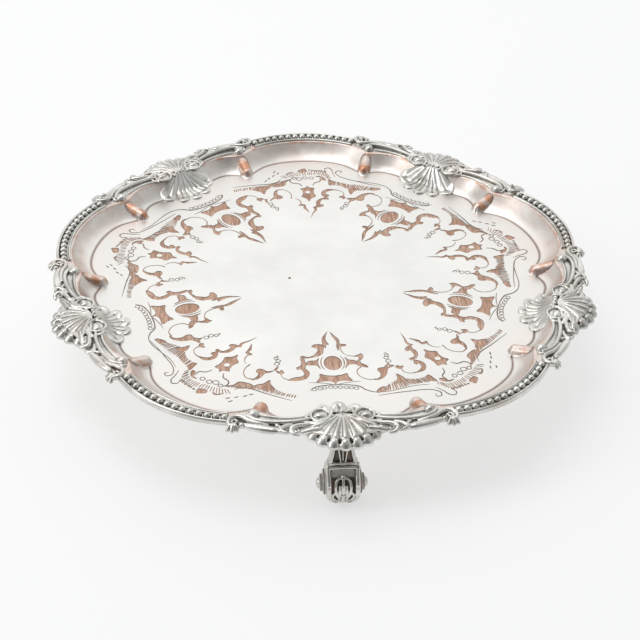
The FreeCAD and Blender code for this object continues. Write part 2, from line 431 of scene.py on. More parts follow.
def mark_hollows(mesh):
    """Stores how far each point lies in a hollow, at a narrow and at a wide scale, for the painted shade and
    tarnish laid in the hollows.
    """
    co, edges = mesh_arrays(mesh)
    normals = np.zeros(len(co) * 3)
    mesh.vertices.foreach_get("normal", normals)
    normals = normals.reshape(-1, 3)
    flowing = co.copy()
    hollow = np.zeros(len(co))
    for i in range(1, WIDE + 1):
        flowing = averaged(flowing, edges)
        if i in (NARROW, WIDE):
            depth = np.einsum("ij,ij->i", normals, flowing - co)
            hollow = np.maximum(hollow, depth / (NARROW_DEEP if i == NARROW else WIDE_DEEP))
    hollow = np.clip(hollow, 0, 1)
    set_values(mesh, "crevice_shade_and_tarnish", averaged(hollow[:, None], edges)[:, 0])


# ---- the tray ----

def ring_angles():
    """Angles round the tray, close together across each rib."""
    zones = [(-36, -21.6, 24), (-21.6, -16.2, 42), (-16.2, 16.2, 54), (16.2, 21.6, 42), (21.6, 36, 24)]
    local = np.concatenate([np.linspace(a, b, n, endpoint=False) for a, b, n in zones])
    return np.concatenate([local + k * SECTOR_DEG for k in range(SECTORS)])


def rib_height(x, y):
    """Height of the rounded rib backs over the plane, well below everything where there is none."""
    top = np.full(x.shape, NO_RIB)
    for k in range(SECTORS):
        for side in (-1, 1):
            deg = k * SECTOR_DEG + side * RIB_DEG
            nose = polar(RIB_NOSE, deg)
            way = polar(1.0, deg)
            along = (x - nose[0]) * way[0] + (y - nose[1]) * way[1]
            length = RIB_TOP - RIB_NOSE
            t = np.clip(along / length, 0, 1.3)
            away = np.hypot(x - nose[0] - t * length * way[0], y - nose[1] - t * length * way[1])
            lift = np.sqrt(np.clip(1 - (away / RIB_R) ** 2, 0, None))
            axis = WELL_Z + 0.9 + t * (RIM_Z - 0.2 - RIB_R - WELL_Z)
            top = np.where(away < RIB_R, np.maximum(top, axis + RIB_R * lift), top)
    return top


def tray_rows():
    """The tray's rings from the well over the rim and back under, each as (kind, place within its kind)."""
    rows = [("floor", d) for d in (-4.0, -3.2, -2.4, -1.8, -1.2, -0.8, -0.55, -0.3, 0.0)]
    rows += [("wall", s) for s in np.linspace(0, 1, 30)[1:]]
    rows += [("rim", s) for s in (0.15, 0.4, 0.7, 0.9, 0.985)]
    rows += [("edge", 0.35), ("edge", 0.75)]
    rows += [("under_rim", s) for s in (0.985, 0.7, 0.3)]
    rows += [("under_wall", s) for s in np.linspace(1, 0, 9)]
    rows += [("under_floor", s) for s in (0.75, 0.5, 0.25, 0.06)]
    return rows


def tray_grid():
    """The rings' points, and for each point how much painted shade it gets in a crease and how far its copper
    shows.
    """
    angles = ring_angles()
    floor_r, inner_r, outer_r = floor_edge(angles), rim_inner(angles), rim_outer(angles)
    spin = np.radians(angles - 90.0)
    rings = []
    marks = []
    for kind, s in tray_rows():
        mark = np.zeros((2, len(angles)))
        if kind in ("floor", "wall"):
            r = floor_r + s if kind == "floor" else floor_r + s * (inner_r - floor_r)
            share = 0.0 if kind == "floor" else s
            z = WELL_Z + CAVETTO_H * share ** CAVETTO_POWER
            z = z - GROOVE_DEPTH * np.exp(-((r - floor_r) / 0.4) ** 2)
            x, y = r * np.cos(spin), r * np.sin(spin)
            back = rib_height(x, y)
            proud = np.clip((back - z) / 1.2, 0, 1)
            # painted shade: a dark line where a rib's back meets the wall, and along the groove at the
            # floor's edge
            mark[0] = np.where(back > NO_RIB, np.exp(-np.abs(back - z - 0.2) / 0.5), 0)
            mark[0] = np.maximum(mark[0], 0.8 * np.exp(-((r - floor_r) / 0.7) ** 2) * (proud < 0.01))
            mark[1] = np.maximum(proud, 0.8 * np.exp(-((r - inner_r + 0.3) / 0.6) ** 2))
            z = np.minimum(np.maximum(z, back), RIM_Z)
        elif kind == "rim":
            r = inner_r + s * (outer_r - inner_r)
            z = RIM_Z
            mark[1] = 0.7 * np.exp(-((r - inner_r) / 1.5) ** 2)
        elif kind == "edge":
            r = outer_r
            z = RIM_Z - s * SHEET
        elif kind == "under_rim":
            r = inner_r + s * (outer_r - inner_r)
            z = RIM_Z - SHEET
        elif kind == "under_wall":
            r = floor_r + s * (inner_r - floor_r) + 1.0
            z = WELL_Z + CAVETTO_H * s ** CAVETTO_POWER - SHEET
        else:
            r = floor_r * s
            z = WELL_Z - SHEET
        z = np.broadcast_to(z, r.shape)
        rings.append(np.column_stack([r * np.cos(spin), r * np.sin(spin), z]))
        marks.append(mark)
    return np.array(rings), np.array(marks)


def tray_mesh():
    """The whole sheet: its rings, and the engraved well joined to the innermost of them."""
    rings, marks = tray_grid()
    count, columns, _ = rings.shape
    size = count * columns
    floor_points, floor_faces, tones = engraved_floor(rings[0][:, :2])
    verts = np.vstack([rings.reshape(-1, 3), floor_points[columns:]])
    faces = ring_quads(count, columns, downward=True)
    faces.append(tuple(range(size - columns, size)))
    sheet_faces = len(faces)
    faces += [tuple(i if i < columns else size + i - columns for i in f) for f in floor_faces]
    mesh = make_mesh("tray_body_sheet", verts, faces)
    mesh.polygons.foreach_set("material_index", [0] * sheet_faces + tones)
    mesh.polygons.foreach_set("use_smooth", [True] * sheet_faces + [False] * len(tones))
    plain = np.zeros(len(verts) - size)
    for i, name in enumerate(("crevice_shade_and_tarnish", "copper")):
        set_values(mesh, name, np.concatenate([marks[:, i].ravel(), plain]))
    return mesh


# ---- the engraving ----

COPPER, LINE, OUTLINE = 1, 2, 3   # what shows in a cut: bare copper, a fine dark line, or one round copper


class Pattern:
    """Cuts in the well, each a tone and a list of loops; a loop inside another of its cut is a hole."""

    def __init__(self):
        self.cuts = []

    def patch(self, loop, holes=()):
        """A copper patch inside a fine dark outline."""
        loop = anticlockwise(loop)
        inner = inset(loop, OUTLINE_WIDTH)
        self.cuts.append((COPPER, [loop, *holes]))
        if len(inner) > 5 and not tangled(loop) and not tangled(inner):
            self.cuts.append((OUTLINE, [loop.copy(), inner]))

    def fill(self, points, steps=4, holes=()):
        self.patch(smooth_path(points, closed=True, steps=steps), holes)

    def ring(self, x, y, r, width):
        self.cuts.append((LINE, [ellipse(x, y, r, r, 16), ellipse(x, y, r - width, r - width, 16)]))

    def stroke(self, points, widths, tone=COPPER):
        """A line of changing width along a smooth path."""
        line = smooth_path(points)
        width = spread(widths, len(line))
        along = np.gradient(line, axis=0)
        along /= np.maximum(np.linalg.norm(along, axis=1), 1e-9)[:, None]
        side = np.column_stack([-along[:, 1], along[:, 0]]) * np.maximum(width, 0.06)[:, None] / 2
        self.cuts.append((tone, [np.vstack([line + side, (line - side)[::-1]])]))

    def hatch(self, first, second, count, width=0.75):
        """Short cuts from one edge of a patch to the other."""
        ends = []
        for edge in (first, second):
            line = smooth_path(edge, steps=8)
            ends.append(np.column_stack([spread(line[:, 0], count), spread(line[:, 1], count)]))
        for p, q in zip(*ends):
            middle = (p + q) / 2
            along = (q - p) / max(np.linalg.norm(q - p), 1e-6)
            side = np.array([-along[1], along[0]]) * width / 2
            half = (q - p) * 0.32
            tip = side * 0.4
            near, far = middle - half, middle + half
            loop = [p - tip, near - side, far - side, q - tip, q + tip, far + side, near + side, p + tip]
            self.cuts.append((COPPER, [np.array(loop)]))

    def moved(self, deg, rng):
        """The same cuts at another place, each a little off; an outline keeps to its patch."""
        out = []
        for tone, loops in self.cuts:
            if tone != OUTLINE:
                nudge = np.array([rng.uniform(-HAND_SLIP, HAND_SLIP) for _ in range(2)])
            out.append((min(tone, LINE), [turn(loop + nudge, deg) for loop in loops]))
        return out

    def pulled(self, shift, stretch):
        """The same cuts pushed outwards by the shift and drawn out or in along the radius."""
        for _, loops in self.cuts:
            for loop in loops:
                loop[:, 1] = FIELD_MIDDLE + (loop[:, 1] - FIELD_MIDDLE) * stretch - shift
        return self


def shell_field():
    """The engraving on a shell's own axis."""
    p = Pattern()
    p.patch(ellipse(0.2, -78.6, 4.8, 7))
    for side in (-1, 1):
        p.stroke(on_side(side, [(4.6, -71.9), (5.9, -75), (6.2, -78.6), (5.8, -82.2), (4.4, -85.2)]),
                [0.3, 0.6, 0.7, 0.6, 0.3])
    p.fill([(-6.7, -72.8), (-8.4, -75.4), (-12.6, -75.9), (-12.9, -80), (-8.6, -80.6), (-6.4, -84.4),
            (-7.3, -78.4)])
    p.fill([(6.8, -72.8), (8.6, -75.6), (12, -76.6), (12.2, -80.2), (8.6, -80.8), (6.2, -84.6),
            (7.4, -78.4)])
    # the foot of the cartouche
    p.fill([(-7.2, -88.9), (-3.6, -90.3), (0, -90.8), (3.6, -90.2), (7, -88.8), (7.6, -92), (9.4, -96.4),
            (4, -95.9), (1.2, -97), (0.3, -99.6), (-0.8, -97), (-4, -96), (-9.4, -96.8), (-7.6, -92.6)])
    left_strand(p)
    right_strand(p)
    for side in (-1, 1):
        quill(p, side)
    beaded_arc(p)
    return p


def beaded_arc(p):
    """A beaded arc over the shell, running out in a long curve on one side."""
    p.stroke([(-13.4, -104.4), (-11, -101.6), (-5, -99.9), (0.5, -99.7), (7, -100.2), (12, -101.8),
            (15, -105.2), (19.5, -107.6), (26, -107.4), (33, -105.2), (41, -102.6), (48, -102)],
            [0.5, 0.9, 0.8, 0.8, 0.8, 0.9, 0.8, 0.6, 0.6, 0.5, 0.5, 0.3], LINE)
    for i in range(9):
        x = -11 + 2.7 * i
        p.ring(x, -101.9 - 0.016 * x * x, 1.4, 0.45)
    for side in (-1, 1):
        p.stroke(on_side(side, [(13.4, -97), (8.6, -97.4), (4, -98.4), (0.8, -99.4)]),
                [0.3, 0.5, 0.5, 0.3], LINE)


def left_strand(p):
    p.fill([(-0.2, -46.6), (-2, -49.8), (-3.4, -52.8), (-3.9, -56.2), (-3.6, -60.6), (-2.2, -63.8),
            (-1.6, -60.4), (-0.3, -60.2), (-1.2, -57.6), (-1.7, -54), (-1, -50)])
    p.fill([(-3.2, -60.4), (-6.6, -59), (-9.4, -60), (-9.9, -62), (-7.6, -63.2), (-7, -65.4), (-8.2, -68),
            (-10, -70.6), (-13, -71.6), (-15, -70.4), (-16.6, -71.4), (-14.2, -73.2), (-10.6, -72.6),
            (-6.8, -71.2), (-4.5, -68.8), (-3.9, -65.4)])
    p.fill([(-15.2, -71.6), (-16.8, -73.4), (-16.5, -77.4), (-17.4, -80.8), (-19.3, -82.2), (-18.9, -84.6),
            (-17.3, -84), (-16, -86.6), (-15.8, -89.6), (-17.8, -91.2), (-20.6, -91.6), (-24.4, -94.4),
            (-19.4, -95.2), (-15, -93.6), (-13, -90), (-13.1, -86), (-14.6, -83.4), (-13.9, -80.4),
            (-12.8, -79), (-14.2, -77), (-14.6, -74)])
    p.stroke([(-23.4, -94), (-26, -92.4), (-27.4, -89.8), (-27.5, -87)], [0.7, 0.5, 0.5, 0.7])
    p.fill([(-27, -87.8), (-29.3, -86.4), (-29.6, -84.2), (-27.8, -85), (-27, -83.4), (-25.8, -85.2),
            (-25.6, -86.8)])


def right_strand(p):
    p.fill([(0.9, -46.8), (2.6, -50), (4.4, -53.2), (5.4, -56.6), (5, -60.4), (3.9, -66.4), (3.2, -62),
            (3.6, -57.4), (2.2, -53.4)])
    p.fill([(4.6, -58.8), (6.6, -59.6), (8.6, -60), (8.4, -61.8), (6.2, -62.2), (5, -61.4)])
    p.stroke([(5.4, -61.2), (5.5, -65.6), (6.9, -69.6), (9.6, -71.8), (13.4, -72.6)],
            [1, 0.7, 0.5, 0.5, 1])
    p.fill([(12.4, -72.2), (14.6, -70.8), (15.6, -69.8), (16.8, -72.8), (15.9, -75.6), (14.6, -77.8),
            (15.6, -80), (17.9, -82), (18.2, -84.2), (15.2, -83.2), (12.6, -81.6), (12, -78.8),
            (13.8, -76), (14, -74)])
    p.stroke([(14.6, -83.2), (12.5, -86), (12.2, -89.6), (14, -93.2), (17.4, -95.6), (21.4, -95.4)],
            [0.8, 0.6, 0.5, 0.5, 0.6, 0.9])
    p.fill([(20.4, -96.2), (23.4, -93.8), (24, -90), (22.8, -87.4), (23.4, -84.8), (26.4, -84),
            (28.4, -81.2), (28.6, -84), (30.6, -81.9), (32.2, -83.2), (29.8, -84.8), (28.4, -86.2),
            (27.6, -90.4), (25.6, -94.2), (22.6, -96.4)])


def quill(p, side):
    """A chain of little rings that climbs towards the middle of the well."""
    foot = side * 29
    p.stroke([(foot + side * 1.6, -84.2), (foot + side * 0.2, -81.8), (foot - side * 0.4, -79.8)],
            [1.8, 1.5, 0.7])
    for x, y, r in ((0.2, -78, 1.6), (-0.6, -75, 1.5), (0.2, -72.2, 1.3)):
        p.ring(foot + side * x, y, r, 0.5)
    p.stroke([(foot + side * 0.6, -71), (foot - side * 0.6, -70), (foot - side * 1.6, -70.8)],
            [0.3, 0.7, 0.3], LINE)


def star_field():
    """The engraving between two shells, on a beaded strip's own axis."""
    p = Pattern()
    p.fill([(0.1, -83.6), (1.4, -86.6), (4.3, -89.2), (3.3, -92.2), (3.3, -95.8), (4.4, -98.4),
            (1.4, -99.4), (0.2, -101.4), (-1.2, -99.6), (-4.2, -99), (-3.5, -95.8), (-3.6, -92.4),
            (-4.4, -89.2), (-1.3, -86.6)], 3, [ellipse(0.2, -94.2, 1.5, 1.6, 16)])
    star_left(p)
    star_right(p)
    hatched_wedges(p)
    ring_cloud(p)
    rim_scrolls(p)
    return p


def star_left(p):
    p.stroke([(0.3, -65), (-1.6, -70.6), (-3.4, -74.4), (-2.7, -77.6)], [0.15, 0.9, 1.5, 2])
    p.fill([(-3, -77), (-5.8, -76.8), (-8, -78), (-8, -79.8), (-6.4, -80.2), (-6.6, -82.6), (-8.2, -85.4),
            (-11.6, -85.2), (-11.6, -87.2), (-8, -87.2), (-5, -85), (-3.8, -82), (-3.9, -79.6)])
    p.fill([(-10.2, -87.4), (-12.4, -89.6), (-11.9, -91.4), (-10.6, -91.2), (-11, -93.6), (-13, -95.2),
            (-16.8, -96.2), (-12.6, -97.6), (-9.4, -95.8), (-7.9, -92.6), (-8.5, -89.8)])
    p.stroke([(-16, -96.4), (-19.6, -95), (-21.6, -92), (-21, -88.8)], [1, 0.5, 0.45, 0.7])
    p.fill([(-21.2, -89), (-22.4, -86.4), (-20.4, -85.4), (-19.6, -87), (-18, -87.6), (-19.4, -89)])


def star_right(p):
    p.fill([(0.8, -71.4), (2.6, -74), (3.9, -76.4), (3.7, -78.6), (6.4, -79.2), (6, -80.6), (2.6, -80.2),
            (2.2, -77.2), (1.4, -74.4)])
    p.stroke([(5.2, -80.4), (4.9, -83), (6.2, -86.2), (8.4, -88)], [0.9, 0.6, 0.5, 0.3])
    p.stroke([(10.4, -87.2), (10, -91.2), (11.6, -95.4), (14.8, -98), (18.4, -97.4)],
            [0.9, 0.5, 0.5, 0.6, 1])
    p.fill([(17.8, -98), (18.6, -94.4), (17.9, -91.6), (16, -90.8), (15.6, -88.2), (17.8, -87),
            (20.8, -87.2), (23.4, -84.8), (22.8, -87.2), (21, -89.6), (20.9, -93.4), (19.8, -96.6)])


def hatched_wedges(p):
    """Two wedges of short cuts beside the star, each with solid peaks."""
    p.fill([(-25.7, -90.4), (-24.8, -96.2), (-27.8, -97.6), (-31.6, -96.4), (-28.4, -94.2)])
    p.hatch([(-43, -94.6), (-35.7, -94.8), (-28.4, -94.4), (-24.8, -96.4), (-20.1, -100.4),
            (-13.4, -101.8)], [(-43.8, -97), (-39, -98.6), (-31.2, -101.6), (-25, -102.6), (-20.1, -105),
            (-14.8, -107.4)], 30)
    p.fill([(-13.4, -101.4), (-16, -102.6), (-16.2, -106), (-13.4, -108.6), (-13, -105)])
    p.fill([(-44.4, -96), (-41, -94.2), (-37.8, -94.8), (-39.6, -97.6)])
    p.fill([(26.2, -92.8), (28.4, -95.6), (32.4, -98), (29.4, -101.6), (24.2, -101.4), (22.4, -100.2),
            (24.8, -97.4)])
    p.hatch([(14.3, -103), (21.6, -101.3), (26, -97), (30, -97), (36.6, -98), (44, -96.2)],
            [(11.8, -109.4), (18, -106.8), (25, -103), (30, -102.4), (36.6, -101), (44.6, -98.6)], 30)
    p.fill([(13.6, -102.4), (21, -101), (19.4, -103.6), (14.4, -105.8), (11.8, -109.2), (9.2, -109.8),
            (12.4, -106.4)])


def ring_cloud(p):
    """A cloud of little rings, with a leafy fringe under it."""
    p.stroke([(3.2, -101.2), (5, -104.2), (8.8, -105.2), (10.2, -108), (8.4, -111.2)],
            [0.4, 0.8, 0.8, 0.8, 0.4], LINE)
    p.stroke([(-3.4, -101.6), (-5.2, -105), (-8.4, -106.8), (-8.4, -110.4)], [0.4, 0.8, 0.8, 0.4], LINE)
    for x, y, r in ((-3.3, -110.6, 1.6), (0.6, -110.9, 1.7), (4.2, -109.6, 1.9), (7.4, -110.8, 1.5)):
        p.ring(x, y, r, 0.55)
    p.fill([(-12, -107.6), (-9.4, -108.2), (-8.6, -111.4), (-5.6, -112.4), (-8, -113.2), (-11, -111.2)])
    p.hatch([(-13.6, -108.4), (-11, -112.4), (-6, -114.4), (0, -114), (6, -113), (12, -111.2)],
            [(-15, -111), (-12.4, -117.4), (-7, -119.6), (0, -117.6), (8, -117.6), (15.6, -113.6)], 24,
            0.55)
    for i in range(6):
        x = -12.2 + 1.9 * i
        p.fill([(x, -117 - 0.5 * i), (x + 1.1, -118 - 0.45 * i), (x + 0.2, -119.4 - 0.3 * i),
                (x - 0.6, -118.4 - 0.4 * i)])
    p.fill([(-0.8, -118.8), (1.6, -117.6), (4.2, -117.8), (4.6, -119.8), (2.4, -121.6), (0.4, -122.6),
            (-0.6, -120.8)])
    p.fill([(7, -117), (9.6, -117.2), (12.4, -114.6), (11.4, -117), (8.8, -118.6)])


def rim_scrolls(p):
    """Pale scrolls towards the rim."""
    p.stroke([(-45, -98.6), (-36, -102.8), (-29, -106.6), (-23.8, -109.4), (-20, -112.8), (-18.6, -116.6),
            (-20.4, -118.8), (-22.4, -117.4), (-21.2, -115.6)],
            [0.3, 0.6, 0.6, 0.6, 0.6, 0.7, 0.6, 0.6, 0.3], LINE)
    p.stroke([(-17.8, -111.4), (-16.8, -116.4), (-16.4, -120.4), (-14.4, -122.4), (-12.2, -121),
            (-12.4, -118.2)], [0.3, 0.6, 0.7, 0.7, 0.6, 0.3], LINE)
    for x, y in ((16.6, -117.2), (19.6, -114.2), (22.8, -111.2), (24.8, -108.4), (19, -118.8)):
        p.stroke([(x - 0.8, y - 1), (x, y), (x + 0.7, y + 1.2)], [0.3, 1, 0.3], LINE)
    p.stroke([(15.4, -109.8), (17.6, -106.6), (22, -104.6), (31, -103.6), (45, -101.4)],
            [0.3, 0.7, 0.8, 0.7, 0.3], LINE)


def all_cuts():
    rng = random.Random(SEED)
    cuts = []
    for k, (shift, stretch) in enumerate(FIELD_LAYOUT):
        cuts += shell_field().pulled(shift, stretch).moved(k * SECTOR_DEG, rng)
        cuts += star_field().moved((k + 0.5) * SECTOR_DEG, rng)
    pit = [(-18.0, 3.0), (-16.8, 3.4), (-16.4, 2.2), (-17.4, 1.6)]   # a small dark one near the middle
    cuts.append((LINE, [smooth_path(pit, closed=True)]))
    return cuts


def engraved_floor(border):
    """The well's top inside the border loop, with every cut sunk into it: points, faces and face tones."""
    points = [Vector(p) for p in border]
    loops = [list(range(len(points)))]
    owner = [None]
    for number, (tone, cut) in enumerate(all_cuts()):
        for loop in cut:
            loop = anticlockwise(loop)
            base = len(points)
            points += [Vector(p) for p in loop]
            loops.append(list(range(base, base + len(loop))))
            owner.append((number, tone))
    flat, _, faces, _, _, sources = delaunay_2d_cdt(points, [], loops, 1, 1e-4)
    return sunk(flat, faces, [tone_of(inside, owner) for inside in sources])


def tone_of(inside, owner):
    """What shows in a face, from the loops it lies in: two loops of one cut undo each other."""
    hits = {}
    for loop in inside:
        if owner[loop] is not None:
            hits[owner[loop]] = hits.get(owner[loop], 0) + 1
    return max([tone for (_, tone), times in hits.items() if times % 2], default=0)


def sunk(flat, faces, tones):
    """The flat faces with every toned one let down, and walls between the two levels."""
    verts = [(p.x, p.y, WELL_Z) for p in flat]
    lowered = {}
    out = []
    walls = {}
    for face, tone in zip(faces, tones):
        if tone:
            for i in face:
                if i not in lowered:
                    lowered[i] = len(verts)
                    verts.append((flat[i].x, flat[i].y, WELL_Z - CUT_DEPTH))
        for a, b in zip(face, list(face[1:]) + [face[0]]):
            walls.setdefault((min(a, b), max(a, b)), []).append((a, b, tone))
        out.append(tuple(lowered[i] for i in face) if tone else tuple(face))
    out_tones = list(tones)
    for uses in walls.values():
        if len(uses) == 2 and bool(uses[0][2]) != bool(uses[1][2]):
            a, b, tone = next(u for u in uses if u[2])
            out.append((b, a, lowered[a], lowered[b]))
            out_tones.append(LINE)
    return np.array(verts), out, out_tones


# ---- mounts on the rim, each made at the front, heights measured from the rim ----

def raised(points, z=0.0):
    return [(p[0], p[1], RIM_Z + z + (p[2] if len(p) > 2 else 0.0)) for p in points]


def bead_strip_mesh():
    """A channel turned about the section's own centre, with a row of round beads lying in it."""
    # each section point's third number is its painted shade and tarnish: darkest in the channel under the
    # beads
    section = [(-4.0, -0.8, 0.3), (-4.05, 0.45, 0.2), (-3.8, 0.95, 0), (-3.4, 1.1, 0), (-3.05, 0.9, 0.2),
               (-2.9, 0.45, 1), (-2.72, 0.75, 0.3), (-2.45, 0.85, 0.1), (-2.15, 0.55, 0.7), (-2.05, 0.0, 1),
               (0.0, -0.15, 1), (2.05, 0.0, 1), (2.2, 0.7, 0.7), (2.45, 1.25, 0.1), (3.0, 1.55, 0),
               (3.55, 1.25, 0), (3.95, 0.5, 0), (4.05, -0.5, 0), (3.95, -1.3, 0.2), (3.5, -1.7, 0.4),
               (3.0, -1.4, 0.5), (2.8, -0.8, 0.5)]
    stations = 90
    verts = []
    hollow = []
    for i in range(stations + 1):
        deg = -STRIP_HALF_DEG + 2 * STRIP_HALF_DEG * i / stations
        for across, up, dark in section:
            x, y = polar(BEAD_ARC_R + across, deg)
            verts.append((x, y - BEAD_ARC_C, RIM_Z + up))
            hollow.append(dark)
    n = len(section)
    faces = ring_quads(stations + 1, n, downward=True)
    faces.append(tuple(range(n)))
    faces.append(tuple(reversed(range(stations * n, (stations + 1) * n))))
    beads = Lump()
    step = math.degrees(BEAD_PITCH / BEAD_ARC_R)
    for i in range(BEAD_COUNT):
        x, y = polar(BEAD_ARC_R, (i - (BEAD_COUNT - 1) / 2) * step)
        beads.ball((x, y - BEAD_ARC_C, RIM_Z + 0.5), BEAD_R, rings=14, sides=24)
    base = len(verts)
    verts += beads.verts
    # painted shade and tarnish: each bead darker towards its foot
    hollow += [float(np.clip((RIM_Z + 1.2 - v[2]) / 0.9, 0, 1)) for v in beads.verts]
    faces += [tuple(base + i for i in f) for f in beads.faces]
    mesh = make_mesh("bead_strip_metal", verts, faces)
    set_values(mesh, "crevice_shade_and_tarnish", hollow)
    return mesh


def scroll_mesh():
    """The reeded scroll on the right of the front shell, curled at both ends."""
    lump = Lump()
    base = [(16.5, -131), (22, -132.2), (30, -131.6), (37, -130.2), (42, -128), (47, -128.6), (51, -129.4),
            (55, -130.4), (56.4, -134), (55.4, -138), (50, -137.6), (43, -139.8), (34, -142), (28, -143.6),
            (22, -143), (17, -139.5)]
    lump.slab(smooth_path(base, closed=True, steps=4), RIM_Z - 1.5, RIM_Z + 0.2)
    long_reeds(lump)
    big_curl(lump)
    small_curl(lump)
    # boss on the head of the rib, with a short leaf beside it
    boss = polar(136.4, RIB_DEG)
    lump.ball((boss[0] - 0.2, boss[1] + 0.2, RIM_Z + 0.4), 3.1, flat=0.85)
    lump.tube(raised([(47.8, -127.9), (48.4, -130.2), (46.4, -132.8)], 0.5), [0.6, 0.95, 0.7])
    mesh = lump.fused("scroll_metal")
    mark_hollows(mesh)
    return mesh


def long_reeds(lump):
    """The mount's thin inner edge, the long reed from the boss to the shell, and the broad outer band."""
    lump.tube(raised([(41, -129.6), (36, -131.2), (29, -132.6), (22, -132.6), (16.5, -131.4)], 0.45),
            [0.4, 0.7, 0.75, 0.75, 0.6])
    lump.tube(raised([(47, -130.2), (44.6, -133), (40.4, -135.2), (34, -136.4), (27.5, -136.6),
            (21.5, -136), (16.6, -134.6)], 1.15), [0.9, 1.05, 1.1, 1.15, 1.15, 1.1, 0.9])
    lump.tube(raised([(50.6, -135.4), (46, -137.6), (40.4, -139.4), (35, -140.8), (31.4, -141.6)], -0.35),
            [1.3, 2.1, 2.4, 2.3, 1.5], flat=0.8)


def big_curl(lump):
    """A reed that sweeps up round the end of the beads and closes on itself, with three small leaves."""
    lump.tube(raised([(37, -138, -0.5), (42, -136.9, 0), (46.2, -134.8, 0.1), (48.8, -132.6, 0.2),
            (52, -131.2, 0.2), (55.2, -132.2, 0.2), (56.7, -135, 0.1), (56.2, -137.6, -0.2)], 1.2),
            [0.6, 0.95, 1.1, 1.15, 1.2, 1.2, 1.15, 0.9])
    lump.coil((53.4, -134.8), 1.7, 0.75, -0.9, 150, RIM_Z + 0.6, 0.4)
    lump.ball((50.2, -137.4, RIM_Z + 0.7), 1.45)
    for x, y in ((52.4, -139.3), (54.8, -139.8), (57, -138.8)):
        lump.tube(raised([(53.9, -136.2, 0.9), ((53.9 + x) / 2 + 0.1, (y - 136.2) / 2, 0.9),
                (x, y, -0.9)]), [0.7, 1.05, 1.15])


def small_curl(lump):
    """The curl beside the shell, and the leaves that join it to the reeds."""
    lump.tube(raised([(15.4, -137.4, -0.3), (18.6, -138.8, 0), (22.4, -139.6, 0.2), (25.4, -141, 0.2),
            (26.2, -143.2, -0.1), (24.8, -145.2, -0.7), (22.6, -145.4, -1.2)], 0.9),
            [0.8, 1.1, 1.25, 1.3, 1.25, 1.1, 0.8])
    lump.coil((23.2, -142.6), 1.5, 0.75, -0.8, 80, RIM_Z + 0.3, 0.3)
    lump.tube(raised([(25.6, -138), (29.4, -139.4), (31.4, -142), (29, -143.8)], 0.3),
            [0.9, 1.3, 1.3, 0.9])
    lump.tube(raised([(33, -138), (31.6, -139.4), (31.8, -141.2)], 0.4), [0.8, 1, 0.9])


def fan_block(lump, root_y, facing, half_valleys, reach, scallop, top_z, under_z, rows, per):
    """A fluted fan about its root. Valleys are the angles between flutes, measured from its facing.
    Its heights are worked out from (x, y, share of the reach, place across a flute)."""
    valleys = [-a for a in reversed(half_valleys)] + half_valleys
    angles = []
    across = []
    for a, b in zip(valleys[:-1], valleys[1:]):
        for i in range(per):
            u = -1 + 2 * i / per
            angles.append(a + (b - a) * (u + 1) / 2)
            across.append(u)
    angles.append(valleys[-1])
    across.append(1.0)
    angles, across = np.radians(np.array(angles) + facing), np.array(across)
    grids = np.zeros((2, rows, len(angles), 3))
    for i, share in enumerate(np.linspace(0.02, 1, rows)):
        edge = reach * (1 - scallop * across ** 2 * np.clip((share - 0.6) / 0.4, 0, 1))
        x = edge * share * np.sin(angles)
        y = root_y - edge * share * np.cos(angles)
        grids[0, i] = np.column_stack([x, y, top_z(x, y, share, across)])
        grids[1, i] = np.column_stack([x, y, under_z(x, y, share, across)])
    lump.block(grids[0], grids[1])


def outer_fan(lump):
    """The big fan: it runs over the rim's edge, with fine lines down its flutes and pits between the tips."""
    shares = [0.0, 0.12, 0.3, 0.55, 0.70, 0.765, 0.80, 0.85, 0.90, 0.95, 1.0]
    ridge = [1.6, 2.0, 2.1, 1.6, 0.9, 0.4, -0.3, -0.2, -0.8, -1.7, -3.0]
    relief = [0.2, 0.5, 1.0, 1.6, 1.9, 2.0, 2.0, 1.8, 1.3, 0.8, 0.6]

    def top(x, y, share, u):
        crown = np.sqrt(1 - 0.9 * u ** 2)
        line = np.exp(-((np.abs(u) - 0.62) / 0.14) ** 2)
        line *= np.interp(share, [0.1, 0.4, 0.7, 0.8], [0, 0.5, 0.6, 0])
        pit = np.clip((np.abs(u) - 0.72) / 0.2, 0, 1)
        pit *= np.interp(share, [0.78, 0.83, 0.89, 0.93], [0, 2.2, 2.2, 0])
        fall = np.interp(share, shares, relief) * (1 - crown)
        return RIM_Z + np.interp(share, shares, ridge) - fall - line - pit

    def under(x, y, share, u):
        return np.full(x.shape, RIM_Z + np.interp(share, [0, 0.72, 0.85, 1.0], [-1.3, -1.5, -3.4, -4.6]))
    fan_block(lump, -131.4, 0.0, OUTER_VALLEYS, 22.4, 0.07, top, under, 46, 17)


def inner_fan(lump):
    """The small fan: it lies down the cavetto, and its lobes curl up a little on the well."""
    shares = [0.0, 0.3, 0.6, 0.78, 0.86, 0.92, 1.0]
    lift = [1.9, 1.7, 1.2, 0.8, 1.0, 1.3, 0.9]
    relief = [0.2, 0.9, 1.3, 1.4, 1.5, 1.8, 1.8]

    def top(x, y, share, u):
        crown = np.sqrt(1 - 0.9 * u ** 2)
        vein = np.exp(-(u / 0.16) ** 2) * np.interp(share, [0.25, 0.45, 0.8, 0.9], [0, 0.6, 0.7, 0])
        drop = np.interp(share, shares, relief) * (1 - crown) + vein
        return sheet_top(x, y) + np.maximum(np.interp(share, shares, lift) - drop, 0.02)

    def under(x, y, share, u):
        return sheet_top(x, y) - 0.5
    fan_block(lump, -131.6, 180.0, INNER_VALLEYS, 20.6, 0.14, top, under, 40, 21)


